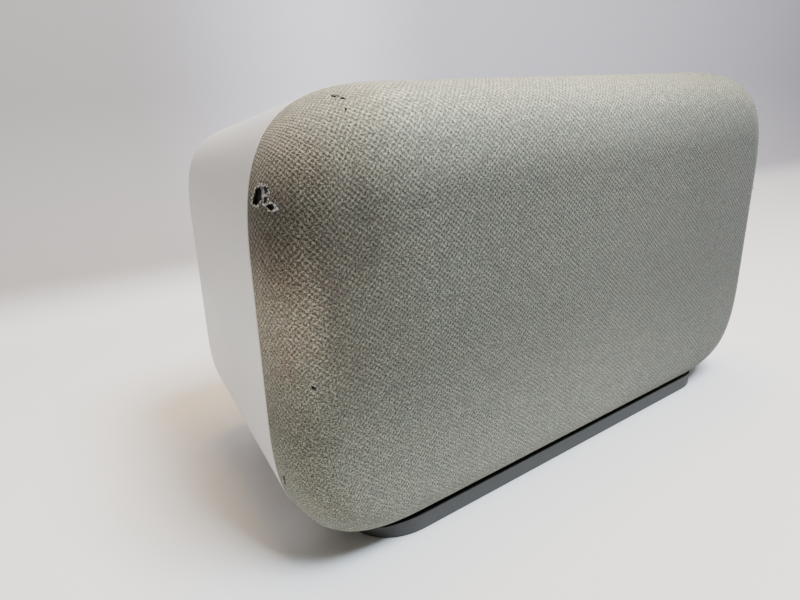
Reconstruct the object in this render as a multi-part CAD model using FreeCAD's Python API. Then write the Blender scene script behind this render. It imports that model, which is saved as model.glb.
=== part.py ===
import FreeCAD, Part
import math
import os

# Smart speaker: a wide rounded box with a fabric grille in front and a tapered shell behind.
# Millimetres. +X is to the right, +Y to the back, +Z up; the front faces -Y.
# The origin is on the floor, under the middle of the body's box.

V = FreeCAD.Vector
X_AXIS = V(1, 0, 0)
Y_AXIS = V(0, 1, 0)
Z_AXIS = V(0, 0, 1)

# Driving dimensions of the body
WIDTH = 336.6
HEIGHT = 190.0
DEPTH = 154.4
FOOT = 3.5            # height of the body's underside above the floor, at the seam
CORNER = 61.0         # how far each corner curve reaches along the straight sides
HANDLE = 0.766        # fullness of the corner curve; 0.552 would be a circle
FRONT_DOME = 1.75     # how far the front bulges
ROLL_DEPTH = 26.2     # front edge roll, measured back from the front plane
ROLL_SIDE = 18.5      # and inwards at the sides
ROLL_TOP = 21.5       # and inwards at the top and the bottom
ROLL_POWER = 2.33     # 2 would be an ellipse
SEAM_DEPTH = 29.6     # where the cloth ends and the shell starts
SLOPE_SIDE = 0.1734   # inward taper of the shell for each millimetre of depth
SLOPE_TOP = 0.1660
BACK_ROUND = 15.0
WALL = 4.5
STRIP_BACK = 20.0     # touch strip's middle, behind the seam
CLOTH = 0.9
SEAM_GAP = 0.3

APEX = -DEPTH / 2
FRONT = APEX + FRONT_DOME
SEAM = FRONT + SEAM_DEPTH
BACK = DEPTH / 2
BACK_INNER = BACK - WALL
MIDDLE = FOOT + HEIGHT / 2

# Baffle and drivers: S is measured backwards from the baffle's front face
BAFFLE_FRONT = -46.0
BAFFLE_THICK = 6.0
BAFFLE_BACK = BAFFLE_FRONT + BAFFLE_THICK
BAFFLE_GAP = 0.2
WOOFER_X = 63.5
WOOFER_RADIUS = 62.0
WOOFER_HOLE = 52.0
WOOFER_SCREW_RING = 59.3
TWEETER_X = 143.5
TWEETER_RADIUS = 17.3
TWEETER_HOLE = 13.4
TWEETER_SCREW_RING = 15.3
BAFFLE_SCREWS = [(60.0, 82.0), (144.2, 73.2), (155.0, 26.0)]
RIB_ANGLES = [90.0, 45.0, 0.0]     # direction of the rib from each boss to the wall
RIB_THICK = 2.4
LEDGE_WIDTH = 5.0
GRILLE_PEGS = [(0.0, 82.0), (105.0, 78.0), (150.0, 44.0)]
BOSS_RADIUS = 4.5
BOSS_LENGTH = 26.0
PEG_RADIUS = 3.0
GROMMET_RADIUS = 5.0
LIGHT_BOARD_Z = 58.0
MICROPHONE_PLACE = (86.0, 76.0)

# Chassis and boards, behind the drivers
CHASSIS_FRONT = 30.0
CHASSIS_THICK = 2.0
CHASSIS_HALF = (120.0, 62.0)
CHASSIS_POSTS = [(112.0, 54.0)]
BOARD_FRONT = 38.0
BOARD_THICK = 1.6
BOARD_BACK = BOARD_FRONT + BOARD_THICK
BOARD_LOW = -4.0
BOARD_HIGH = 54.0
BOARDS = {
    "power_supply_board": (-106.0, -42.0),
    "amplifier_board": (-36.0, 34.0),
    "main_board": (40.0, 106.0),
}
LEAD_GATES = (-39.0, 37.0)   # holes in the bracket for the woofers' leads
STANDOFF_RADIUS = 2.6
STANDOFF_INSET = 4.0

# Rear port panel
PANEL_Z = MIDDLE - 32.0
PANEL_LENGTH = 130.0
PANEL_HEIGHT = 26.0
PANEL_CLEAR = 0.2
PANEL_FLOOR = 69.0
PANEL_THICK = 2.0
PANEL_FLANGE = 5.0
INLET_X = 44.0
DATA_X = 14.0
JACK_X = -8.0
MUTE_X = -42.0
INLET_PIN_PITCH = 8.6
MUTE_TRAVEL = 3.0

# Base pad
PAD_FRONT = -70.7
PAD_BACK = 48.0
PAD_HALF = 135.0
PAD_CORNER = 27.0
PAD_GAP = 0.3
PAD_LIP = 8.0           # height of the pad's edge in front, under the cloth's lower roll
PAD_LIP_GAP = 1.6       # between that lip and the cloth
PLATE_THICK = 1.5


def ring(y, side, top, skin=0.0):
    """Closed rounded outline across the depth: four straight edges and four Bezier corners."""
    half_w = WIDTH / 2 - side - skin
    half_h = HEIGHT / 2 - top - skin
    corner = max(CORNER - (side + top) / 2 - skin, 3.0)
    corner = min(corner, half_h * 0.96)
    return rounded_outline(y, 0, MIDDLE, half_w, half_h, corner, HANDLE)


def rounded_outline(y, mid_x, mid_z, half_w, half_h, corner, handle):
    reach = corner * (1 - handle)
    edges = []
    for sx, sz in ((1, 1), (-1, 1), (-1, -1), (1, -1)):
        side_point = V(mid_x + sx * half_w, y, mid_z + sz * (half_h - corner))
        side_handle = V(mid_x + sx * half_w, y, mid_z + sz * (half_h - reach))
        top_handle = V(mid_x + sx * (half_w - reach), y, mid_z + sz * half_h)
        top_point = V(mid_x + sx * (half_w - corner), y, mid_z + sz * half_h)
        poles = [side_point, side_handle, top_handle, top_point]
        if sx * sz < 0:
            poles.reverse()
        curve = Part.BezierCurve()
        curve.setPoles(poles)
        edges.append(curve)
    shapes = []
    for index, curve in enumerate(edges):
        following = edges[(index + 1) % 4]
        shapes.append(curve.toShape())
        shapes.append(Part.LineSegment(curve.EndPoint, following.StartPoint).toShape())
    return Part.Wire(shapes)


def front_form(skin, back_end=SEAM, roll_steps=7, dome_steps=(0.3, 0.6, 0.85, 0.96)):
    """Solid of the fabric front, shrunk by skin: flat band, edge roll and shallow dome."""
    rings = [ring(back_end, 0, 0, skin)]
    for step in range(roll_steps):
        angle = math.radians(90.0 * step / (roll_steps - 1))
        across = max(math.cos(angle), 0.0) ** (2 / ROLL_POWER)
        along = math.sin(angle) ** (2 / ROLL_POWER)
        side = (ROLL_SIDE - skin) * (1 - across)
        top = (ROLL_TOP - skin) * (1 - across)
        y = FRONT + ROLL_DEPTH - (ROLL_DEPTH - skin) * along
        rings.append(ring(y, side, top, skin))
    reach = HEIGHT / 2 - ROLL_TOP
    for part in dome_steps:
        y = FRONT + skin - FRONT_DOME * (1 - (1 - part) ** 2)
        rings.append(ring(y, ROLL_SIDE - skin + reach * part, ROLL_TOP - skin + reach * part, skin))
    return Part.makeLoft(rings, True, True)


def rear_form(skin, front_end=SEAM, back_end=BACK, rounding=BACK_ROUND):
    """Solid of the tapered shell, shrunk by skin, with its back edge rounded."""
    rings = []
    for y in (front_end, back_end):
        depth = y - SEAM
        rings.append(ring(y, SLOPE_SIDE * depth, SLOPE_TOP * depth, skin))
    solid = Part.makeLoft(rings, True, True)
    back_edges = []
    for edge in solid.Edges:
        if edge.BoundBox.YMin > back_end - 0.01:
            back_edges.append(edge)
    return solid.makeFillet(rounding, back_edges)


def box(x0, x1, y0, y1, z0, z1):
    return Part.makeBox(x1 - x0, y1 - y0, z1 - z0, V(x0, y0, z0))


def rod(radius, y0, y1, x, z):
    return Part.makeCylinder(radius, y1 - y0, V(x, y0, z), Y_AXIS)


def pill(length, height, y0, y1, x, z):
    """Bar along X with fully rounded ends."""
    wire = rounded_outline(y0, x, z, length / 2, height / 2, height / 2 - 0.01, 0.5523)
    return Part.Face(wire).extrude(V(0, y1 - y0, 0))


def turned(points, x, z=MIDDLE, base=BAFFLE_FRONT):
    """Solid turned about a line along Y; each point is (radius, S), arcs are ("arc", middle, end)."""
    def place(point):
        return V(x + point[0], base + point[1], z)
    edges = []
    first = place(points[0])
    here = first
    for point in points[1:]:
        if point[0] == "arc":
            there = place(point[2])
            edges.append(Part.Arc(here, place(point[1]), there).toShape())
        else:
            there = place(point)
            edges.append(Part.LineSegment(here, there).toShape())
        here = there
    if (here - first).Length > 1e-6:
        edges.append(Part.LineSegment(here, first).toShape())
    face = Part.Face(Part.Wire(edges))
    return face.revolve(V(x, 0, z), Y_AXIS, 360)


def mirrored_places(places):
    found = []
    for x, z in places:
        for sx in (-1, 1):
            for sz in (-1, 1):
                spot = (sx * x, MIDDLE + sz * z)
                if spot not in found:
                    found.append(spot)
    return found


def circle_places(x, z, radius, count, start):
    spots = []
    for index in range(count):
        angle = math.radians(start + 360.0 * index / count)
        spots.append((x + radius * math.cos(angle), z + radius * math.sin(angle)))
    return spots


def pan_screw(x, z, head_y, head_radius, head_height, shaft_radius, shaft_length):
    """Screw pointing back, with a cross recess in its head."""
    head = rod(head_radius, head_y - head_height, head_y, x, z)
    shaft = rod(shaft_radius, head_y, head_y + shaft_length, x, z)
    slot_long = head_radius * 0.6
    slot_thin = head_radius * 0.16
    slot_deep = head_height * 0.6
    top = head_y - head_height
    cross = box(x - slot_long, x + slot_long, top, top + slot_deep, z - slot_thin, z + slot_thin)
    cross = cross.fuse(box(x - slot_thin, x + slot_thin, top, top + slot_deep,
                           z - slot_long, z + slot_long))
    return head.fuse(shaft).cut(cross).removeSplitter()


def group(solids):
    return Part.makeCompound(solids)


# Grille

def grille_fabric():
    return front_form(0).cut(front_form(CLOTH, SEAM + 1))


def grille_frame():
    """Windowed shell under the cloth, with pegs that reach back to the baffle."""
    outer = front_form(CLOTH + 0.2)
    inner = front_form(CLOTH + 2.6, SEAM + 1)
    frame = outer.cut(inner)
    pitch = 21.0
    window = 8.8
    windows = []
    for column in range(-6, 7):
        for row in range(-3, 4):
            if abs(column) == 6 and abs(row) == 3:
                continue
            x = column * pitch
            z = MIDDLE + row * pitch
            windows.append(box(x - window, x + window, APEX - 1, FRONT + 6, z - window, z + window))
    frame = frame.cut(group(windows))
    wall_back = FRONT + CLOTH + 2.2
    for x, z in mirrored_places(GRILLE_PEGS):
        peg = rod(PEG_RADIUS, wall_back, BAFFLE_FRONT + 4, x, z).common(front_form(CLOTH + 1.0, 0))
        frame = frame.fuse(peg)
    return frame


def grille_grommets():
    """Rubber sleeves in the baffle that hold the grille's pegs."""
    sleeves = []
    for x, z in mirrored_places(GRILLE_PEGS):
        sleeve = rod(GROMMET_RADIUS, BAFFLE_FRONT, BAFFLE_BACK, x, z)
        collar = rod(GROMMET_RADIUS + 1.4, BAFFLE_FRONT - 1, BAFFLE_FRONT, x, z)
        bore = rod(PEG_RADIUS + 0.05, BAFFLE_FRONT - 2, BAFFLE_BACK - 1, x, z)
        sleeves.append(sleeve.fuse(collar).cut(bore).removeSplitter())
    return group(sleeves)


# Shell

def top_slot(length, width, low, high):
    """Upright prism with rounded ends over the touch strip, on the shell's top."""
    centre_y = SEAM + STRIP_BACK
    half = length / 2 - width / 2
    bar = Part.makeBox(2 * half, width, high - low, V(-half, centre_y - width / 2, low))
    for x in (-half, half):
        bar = bar.fuse(Part.makeCylinder(width / 2, high - low, V(x, centre_y, low), Z_AXIS))
    return bar.removeSplitter()


def touch_strip():
    patch = rear_form(0).cut(rear_form(1.2, SEAM - 1))
    return patch.common(top_slot(92, 5, MIDDLE, MIDDLE + HEIGHT))


def touch_sensor_flex():
    patch = rear_form(WALL + 0.2).cut(rear_form(WALL + 0.6, SEAM - 1))
    return patch.common(top_slot(104, 14, MIDDLE, MIDDLE + HEIGHT))


def boss_rib(x, z, front):
    """Flat rib from a screw boss outwards to the wall."""
    rise = z - MIDDLE
    for (place_x, place_z), angle in zip(BAFFLE_SCREWS, RIB_ANGLES):
        if abs(abs(x) - place_x) < 0.1 and abs(abs(rise) - place_z) < 0.1:
            turn = math.radians(angle)
    reach = V(math.copysign(math.cos(turn), x), 0, math.copysign(math.sin(turn), rise)) * 20
    across = reach.cross(Y_AXIS).normalize() * (RIB_THICK / 2)
    start = V(x, front, z)
    corners = [start - across, start + across, start + reach + across, start + reach - across]
    face = Part.Face(Part.makePolygon(corners + [corners[0]]))
    return face.extrude(V(0, BOSS_LENGTH - 4, 0))


def cabinet_shell():
    """Tapered tub: walls, gasket ledge, screw bosses, chassis posts and the rear opening."""
    outer = rear_form(0)
    cavity = rear_form(WALL, SEAM - 1, BACK_INNER, BACK_ROUND - WALL)
    tub = outer.cut(cavity)
    tub = tub.cut(box(-WIDTH, WIDTH, SEAM - 2, SEAM + SEAM_GAP, 0, HEIGHT * 2))
    ledge_front = BAFFLE_BACK + 1.5
    ledge_back = ledge_front + 3
    slab = box(-WIDTH, WIDTH, ledge_front, ledge_back, 0, HEIGHT * 2)
    ledge = rear_form(WALL - 0.5).cut(rear_form(WALL + LEDGE_WIDTH, SEAM - 1)).common(slab)
    tub = tub.fuse(ledge)
    inside = rear_form(WALL - 1)
    for x, z in mirrored_places(BAFFLE_SCREWS):
        boss = rod(BOSS_RADIUS, BAFFLE_BACK, BAFFLE_BACK + BOSS_LENGTH, x, z)
        rib = boss_rib(x, z, ledge_front)
        tub = tub.fuse(boss.fuse(rib).common(inside))
    for x, z in mirrored_places(CHASSIS_POSTS):
        tub = tub.fuse(rod(5.0, CHASSIS_FRONT + CHASSIS_THICK, BACK_INNER + 1, x, z))
    holes = [pill(PANEL_LENGTH, PANEL_HEIGHT, BACK_INNER - 1, BACK + 1, 0, PANEL_Z)]
    for x, z in mirrored_places(BAFFLE_SCREWS):
        holes.append(rod(1.45, BAFFLE_BACK - 1, BAFFLE_BACK + 12, x, z))
    for x, z in mirrored_places(CHASSIS_POSTS):
        holes.append(rod(1.45, CHASSIS_FRONT, CHASSIS_FRONT + 12, x, z))
    tub = tub.cut(group(holes))
    groove = rear_form(-1).cut(rear_form(1.3, SEAM - 1)).common(top_slot(92.4, 5.4, MIDDLE, MIDDLE + HEIGHT))
    return tub.cut(groove)


# Baffle

def front_baffle():
    plate_front = ring(BAFFLE_FRONT, 0, 0, WALL + BAFFLE_GAP)
    depth = BAFFLE_BACK - SEAM
    plate_back = ring(BAFFLE_BACK, SLOPE_SIDE * depth, SLOPE_TOP * depth, WALL + BAFFLE_GAP)
    plate = Part.makeLoft([plate_front, plate_back], True, True)
    cuts = []
    for sx in (-1, 1):
        x = sx * WOOFER_X
        plate = plate.fuse(turned([(52.5, 5), (55, 5), (55, 12), (52.5, 12)], x))
        cuts.append(rod(WOOFER_RADIUS + 0.2, BAFFLE_FRONT - 1, BAFFLE_FRONT + 3, x, MIDDLE))
        cuts.append(rod(WOOFER_HOLE, BAFFLE_FRONT - 1, BAFFLE_BACK + 1, x, MIDDLE))
        for screw_x, screw_z in circle_places(x, MIDDLE, WOOFER_SCREW_RING, 6, 30):
            cuts.append(rod(1.45, BAFFLE_FRONT, BAFFLE_BACK + 1, screw_x, screw_z))
        x = sx * TWEETER_X
        cuts.append(rod(TWEETER_RADIUS + 0.2, BAFFLE_FRONT - 1, BAFFLE_FRONT + 2, x, MIDDLE))
        cuts.append(rod(TWEETER_HOLE, BAFFLE_FRONT - 1, BAFFLE_BACK + 1, x, MIDDLE))
        for screw_x, screw_z in circle_places(x, MIDDLE, TWEETER_SCREW_RING, 3, 90):
            cuts.append(rod(0.95, BAFFLE_FRONT, BAFFLE_BACK + 1, screw_x, screw_z))
    for x, z in mirrored_places(GRILLE_PEGS):
        cuts.append(rod(GROMMET_RADIUS, BAFFLE_FRONT - 1, BAFFLE_BACK + 1, x, z))
    for x, z in mirrored_places(BAFFLE_SCREWS):
        cuts.append(rod(1.8, BAFFLE_FRONT - 1, BAFFLE_BACK + 1, x, z))
    return plate.cut(group(cuts))


def baffle_gasket():
    front = BAFFLE_BACK
    back = front + 1.5
    slab = box(-WIDTH, WIDTH, front, back, 0, HEIGHT * 2)
    return rear_form(WALL + 0.4).cut(rear_form(WALL + 2.6, SEAM - 1)).common(slab)


def baffle_screws():
    return group([pan_screw(x, z, BAFFLE_FRONT, 3.2, 2.0, 1.4, 15)
                  for x, z in mirrored_places(BAFFLE_SCREWS)])


# Woofers

def woofer_basket(x):
    basket = turned([(62, 0), (62, 3), (51.5, 3), (51.5, 9), (35, 36), (35, 39), (21, 39),
                     (21, 36.5), (32.8, 36.5), (32.8, 35.2), (37.2, 29.5), (31, 29.5),
                     (31, 27.9), (38.1, 27.9), (49.2, 8.4), (49.2, 1.2), (56.6, 1.2), (56.6, 0)], x)
    windows = []
    for angle in range(0, 360, 60):
        block = box(x + 36.5, x + 60, BAFFLE_FRONT + 11, BAFFLE_FRONT + 27.4,
                    MIDDLE - 13, MIDDLE + 13)
        block.rotate(V(x, 0, MIDDLE), Y_AXIS, angle)
        windows.append(block)
    for sx, sz in circle_places(x, MIDDLE, WOOFER_SCREW_RING, 6, 30):
        windows.append(rod(1.7, BAFFLE_FRONT - 1, BAFFLE_FRONT + 4, sx, sz))
    return basket.cut(group(windows))


def woofer_cone(x):
    return turned([(43.0, 1.2), (43.0, 2.0), (40.6, 2.0), (20.4, 20.9), (19.5, 20.9),
                   (19.5, 19.9), (39.9, 1.2)], x)


def arc_height(radius, chord, rise):
    """Height above the chord's level of a circular arc, at a radius from its middle."""
    ball = (chord * chord + rise * rise) / (2 * rise)
    return math.sqrt(ball * ball - radius * radius) - (ball - rise)


def woofer_dust_cap(x):
    rim, rim_in, level, rise, thick = 23.2, 22.3, 16.0, 6.7, 0.6
    half = rim / 2
    outer_mid = (half, level - arc_height(half, rim, rise))
    inner_mid = (half, level - arc_height(half, rim_in, rise - thick))
    return turned([(0, level - rise), ("arc", outer_mid, (rim, level)), (rim_in, level),
                   ("arc", inner_mid, (0, level - rise + thick))], x)


def woofer_surround(x):
    centre, roll, thick, level = 46.8, 4.2, 0.8, 1.2
    meet = math.sqrt(roll * roll - thick * thick)
    return turned([(56.4, level), (centre + roll - thick, level),
                   ("arc", (centre, level - roll + thick), (centre - roll + thick, level)),
                   (40.6, level), (40.6, level - thick), (centre - meet, level - thick),
                   ("arc", (centre, level - roll), (centre + meet, level - thick)),
                   (56.4, level - thick)], x)


def woofer_gasket(x):
    return turned([(51.5, -1.1), (56.4, -1.1), (56.4, 0.4), (51.5, 0.4)], x)


def woofer_spider(x):
    """Corrugated disc: a zigzag of shallow waves between the former and the basket's shelf."""
    inner, outer, waves, thick = 19.5, 36.5, 4, 0.5
    flat = 31.2
    top = [(inner, 27.2)]
    step = (flat - inner - 1) / (2 * waves)
    for index in range(2 * waves + 1):
        wave = 0.9 if index % 2 else 0.0
        top.append((inner + 1 + index * step, 27.2 - wave))
    top.append((outer, 27.2))
    bottom = [(r, s + thick) for r, s in reversed(top)]
    return turned(top + bottom, x)


def woofer_voice_coil(x):
    return turned([(19.05, 18.0), (19.45, 18.0), (19.45, 35.0), (20.2, 35.0), (20.2, 49.0),
                   (19.45, 49.0), (19.45, 51.0), (19.05, 51.0)], x)


def woofer_top_plate(x):
    return turned([(20.6, 39), (38, 39), (38, 45), (20.6, 45)], x)


def woofer_magnet(x):
    return turned([(24, 45), (40, 45), (40, 61), (24, 61)], x)


def woofer_yoke(x):
    return turned([(5, 39.5), (17.6, 39.5), (18.6, 40.5), (18.6, 61), (36, 61), (38, 62.5),
                   (38, 67), (5, 67)], x)


def woofer_screws():
    screws = []
    for sx in (-1, 1):
        for x, z in circle_places(sx * WOOFER_X, MIDDLE, WOOFER_SCREW_RING, 6, 30):
            screws.append(pan_screw(x, z, BAFFLE_FRONT, 2.4, 1.6, 1.4, 5.6))
    return group(screws)


# Tweeters

def tweeter_faceplate(x):
    plate = turned([(17.3, -0.6), (17.3, 2.0), (13.2, 2.0), (13.2, 3.9), (11.3, 3.9),
                    (11.3, 1.6), (12.4, 0.0), (13.0, -0.6)], x)
    holes = [rod(1.1, BAFFLE_FRONT - 2, BAFFLE_FRONT + 3, sx, sz)
             for sx, sz in circle_places(x, MIDDLE, TWEETER_SCREW_RING, 3, 90)]
    return plate.cut(group(holes))


def tweeter_motor(x):
    motor = turned([(0, 3.9), (8.3, 3.9), (8.3, 10), (9.4, 10), (9.4, 3.9), (13, 3.9),
                    (13, 16), (12, 17), (0, 17)], x)
    return motor


def tweeter_dome(x):
    rim, rise, thick, level = 8.9, 3.0, 0.3, 3.0
    half = rim / 2
    outer_mid = (half, level - arc_height(half, rim, rise))
    inner_mid = (half, level - arc_height(half, rim - thick, rise - thick))
    return turned([(0, level - rise), ("arc", outer_mid, (rim, level)),
                   ("arc", (10.0, level - 0.6), (11.0, level)), (11.0, level + 0.3),
                   (9.0, level + 0.3), (9.0, 8.0), (8.6, 8.0), (8.6, level),
                   ("arc", inner_mid, (0, level - rise + thick))], x)


def tweeter_screws():
    screws = []
    for sx in (-1, 1):
        for x, z in circle_places(sx * TWEETER_X, MIDDLE, TWEETER_SCREW_RING, 3, 90):
            screws.append(pan_screw(x, z, BAFFLE_FRONT - 0.6, 1.7, 1.2, 0.9, 6.0))
    return group(screws)


# Front boards

def light_board():
    """Board with four status lights, on the baffle between the woofers."""
    z = MIDDLE + LIGHT_BOARD_Z
    board = box(-22, 22, BAFFLE_FRONT - 2.6, BAFFLE_FRONT - 1.0, z - 5, z + 5)
    for x in (-18, 18):
        board = board.fuse(rod(1.8, BAFFLE_FRONT - 1.0, BAFFLE_FRONT, x, z))
    for index in range(4):
        x = -13.5 + 9 * index
        board = board.fuse(box(x - 1.5, x + 1.5, BAFFLE_FRONT - 3.6, BAFFLE_FRONT - 2.6,
                               z - 1.5, z + 1.5))
    return board.removeSplitter()


def microphone_boards():
    boards = []
    for sx in (-1, 1):
        x = sx * MICROPHONE_PLACE[0]
        z = MIDDLE + MICROPHONE_PLACE[1]
        board = box(x - 9, x + 9, BAFFLE_FRONT - 1.2, BAFFLE_FRONT, z - 4.5, z + 4.5)
        can = box(x - 2, x + 2, BAFFLE_FRONT - 2.4, BAFFLE_FRONT - 1.2, z - 1.5, z + 1.5)
        boards.append(board.fuse(can).removeSplitter())
    return group(boards)


# Chassis and rear boards

def board_places(name):
    x0, x1 = BOARDS[name]
    inset = STANDOFF_INSET
    low = MIDDLE + BOARD_LOW + inset
    high = MIDDLE + BOARD_HIGH - inset
    return [(x, z) for x in (x0 + inset, x1 - inset) for z in (low, high)]


def chassis_bracket():
    """Pressed plate that carries the three boards, screwed to the shell's posts."""
    half_x, half_z = CHASSIS_HALF
    back = CHASSIS_FRONT + CHASSIS_THICK
    wire = rounded_outline(CHASSIS_FRONT, 0, MIDDLE, half_x, half_z, 12, 0.5523)
    plate = Part.Face(wire).extrude(V(0, CHASSIS_THICK, 0))
    for name in BOARDS:
        for x, z in board_places(name):
            plate = plate.fuse(rod(STANDOFF_RADIUS, back - 0.5, BOARD_FRONT, x, z))
    holes = []
    for x, z in mirrored_places(CHASSIS_POSTS):
        holes.append(rod(1.8, CHASSIS_FRONT - 1, back + 1, x, z))
    for name in BOARDS:
        for x, z in board_places(name):
            holes.append(rod(1.05, back, BOARD_FRONT + 1, x, z))
    for x in (-78, 0, 78):
        holes.append(box(x - 22, x + 22, CHASSIS_FRONT - 1, back + 1, MIDDLE - 46, MIDDLE - 22))
    for x in LEAD_GATES:
        holes.append(rod(6, CHASSIS_FRONT - 1, back + 1, x, MIDDLE + 30))
    return plate.cut(group(holes))


def chassis_screws():
    return group([pan_screw(x, z, CHASSIS_FRONT, 3.2, 2.0, 1.4, 12)
                  for x, z in mirrored_places(CHASSIS_POSTS)])


def plain_board(name):
    x0, x1 = BOARDS[name]
    board = box(x0, x1, BOARD_FRONT, BOARD_BACK, MIDDLE + BOARD_LOW, MIDDLE + BOARD_HIGH)
    holes = [rod(1.3, BOARD_FRONT - 1, BOARD_BACK + 1, x, z) for x, z in board_places(name)]
    return board.cut(group(holes))


def raised(board, x0, x1, height, z0, z1):
    """Adds a block of the given height on the back of a board; z is from the middle."""
    return board.fuse(box(x0, x1, BOARD_BACK, BOARD_BACK + height, MIDDLE + z0, MIDDLE + z1))


def power_supply_board():
    board = plain_board("power_supply_board")
    board = raised(board, -98, -84, 9, 0, 10)
    return board.removeSplitter()


def power_supply_parts():
    """Transformer, choke and three capacitors that stand on the power supply board."""
    transformer = box(-80, -52, BOARD_BACK, BOARD_BACK + 22, MIDDLE + 20, MIDDLE + 46)
    windings = box(-76, -56, BOARD_BACK + 3, BOARD_BACK + 19, MIDDLE + 16, MIDDLE + 50)
    parts = [transformer.fuse(windings).removeSplitter()]
    parts.append(rod(8.0, BOARD_BACK, BOARD_BACK + 25, -92, MIDDLE + 40))
    parts.append(rod(8.0, BOARD_BACK, BOARD_BACK + 25, -92, MIDDLE + 22))
    parts.append(rod(6.0, BOARD_BACK, BOARD_BACK + 20, -54, MIDDLE + 6))
    choke = Part.makeTorus(6.5, 3.2, V(-73.5, BOARD_BACK + 3.2, MIDDLE + 6), Y_AXIS)
    parts.append(choke)
    return group(parts)


def amplifier_board():
    board = plain_board("amplifier_board")
    for x in (-22, -12, 10, 20):
        board = raised(board, x - 4, x + 4, 7, -1, 7)
    return board.removeSplitter()


def amplifier_heat_sink():
    """Aluminium block with upright fins on the amplifier board."""
    x0, x1 = -30.0, 28.0
    sink = box(x0, x1, BOARD_BACK, BOARD_BACK + 4, MIDDLE + 12, MIDDLE + 46)
    count = 12
    for index in range(count):
        x = x0 + 1 + index * (x1 - x0 - 4) / (count - 1)
        sink = sink.fuse(box(x, x + 2, BOARD_BACK + 4, BOARD_BACK + 20, MIDDLE + 12, MIDDLE + 46))
    return sink.removeSplitter()


def main_board():
    board = plain_board("main_board")
    board = raised(board, 52, 74, 4, -1, 5)
    board = raised(board, 80, 92, 3, -1, 7)
    return board.removeSplitter()


def main_board_shield():
    """Pressed can over the radio and the processor."""
    outer = box(50, 96, BOARD_BACK, BOARD_BACK + 5, MIDDLE + 12, MIDDLE + 46)
    inner = box(50.4, 95.6, BOARD_BACK, BOARD_BACK + 4.6, MIDDLE + 12.4, MIDDLE + 45.6)
    return outer.cut(inner)


def board_screws():
    screws = []
    for name in BOARDS:
        for x, z in board_places(name):
            screw = pan_screw(x, z, 0, 2.2, 1.4, 1.0, 6)
            screw.rotate(V(x, 0, z), Z_AXIS, 180)
            screw.translate(V(0, BOARD_BACK, 0))
            screws.append(screw)
    return group(screws)


# Rear port panel

def io_panel():
    """Recessed panel with a rim in the shell's rear opening and a flange behind the wall."""
    clear = PANEL_CLEAR
    length = PANEL_LENGTH - 2 * clear
    height = PANEL_HEIGHT - 2 * clear
    floor_front = PANEL_FLOOR - PANEL_THICK
    body = pill(length, height, floor_front, BACK - 0.4, 0, PANEL_Z)
    flange_back = BACK_INNER - 0.1
    body = body.fuse(pill(length + 2 * PANEL_FLANGE, height + 2 * PANEL_FLANGE,
                          flange_back - 2, flange_back, 0, PANEL_Z))
    rim = 1.6
    body = body.cut(pill(length - 2 * rim, height - 2 * rim, PANEL_FLOOR, BACK, 0, PANEL_Z))
    cuts = [
        inlet_cavity(0.3, floor_front - 1, PANEL_FLOOR + 1),
        pill(9.6, 3.8, floor_front - 1, PANEL_FLOOR + 1, DATA_X, PANEL_Z),
        rod(3.5, floor_front - 1, PANEL_FLOOR + 1, JACK_X, PANEL_Z),
        pill(10.4, 4.4, floor_front - 1, PANEL_FLOOR + 1, MUTE_X, PANEL_Z),
    ]
    return body.cut(group(cuts)).removeSplitter()


def inlet_cavity(grow, y0, y1):
    """Figure-of-eight prism of the power inlet's mouth."""
    half = INLET_PIN_PITCH / 2
    shape = rod(4.4 + grow, y0, y1, INLET_X - half, PANEL_Z)
    shape = shape.fuse(rod(4.4 + grow, y0, y1, INLET_X + half, PANEL_Z))
    waist = 3.6 + grow
    return shape.fuse(box(INLET_X - half, INLET_X + half, y0, y1,
                          PANEL_Z - waist, PANEL_Z + waist)).removeSplitter()


def power_inlet():
    front = PANEL_FLOOR - PANEL_THICK - 16
    back = PANEL_FLOOR - PANEL_THICK
    body = pill(24, 14, front, back, INLET_X, PANEL_Z)
    lip = inlet_cavity(0.2, back - 1, PANEL_FLOOR).cut(inlet_cavity(-0.4, back - 2, PANEL_FLOOR + 1))
    body = body.cut(inlet_cavity(-0.4, front + 2, back + 1)).fuse(lip)
    for sx in (-1, 1):
        body = body.cut(rod(1.2, front - 1, front + 3, INLET_X + sx * INLET_PIN_PITCH / 2, PANEL_Z))
    return body.removeSplitter()


def power_inlet_pins():
    front = PANEL_FLOOR - PANEL_THICK - 16
    pins = []
    for sx in (-1, 1):
        x = INLET_X + sx * INLET_PIN_PITCH / 2
        pin = rod(1.2, front - 3, front + 11.5, x, PANEL_Z)
        pins.append(pin.fuse(Part.makeSphere(1.2, V(x, front + 11.5, PANEL_Z))).removeSplitter())
    return group(pins)


def usb_c_port():
    back = PANEL_FLOOR + 0.2
    front = back - 9
    port = pill(9.2, 3.4, front, back, DATA_X, PANEL_Z)
    port = port.cut(pill(8.4, 2.6, front + 1.5, back + 1, DATA_X, PANEL_Z))
    port = port.fuse(box(DATA_X - 3.3, DATA_X + 3.3, front + 1, back - 1.2,
                         PANEL_Z - 0.35, PANEL_Z + 0.35))
    return port.removeSplitter()


def aux_jack():
    wall = PANEL_FLOOR - PANEL_THICK
    body = box(JACK_X - 4.5, JACK_X + 4.5, wall - 12, wall, PANEL_Z - 4, PANEL_Z + 4)
    body = body.fuse(rod(3.3, wall - 1, PANEL_FLOOR + 0.6, JACK_X, PANEL_Z))
    return body.cut(rod(1.8, wall - 10.4, PANEL_FLOOR + 1, JACK_X, PANEL_Z)).removeSplitter()


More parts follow.
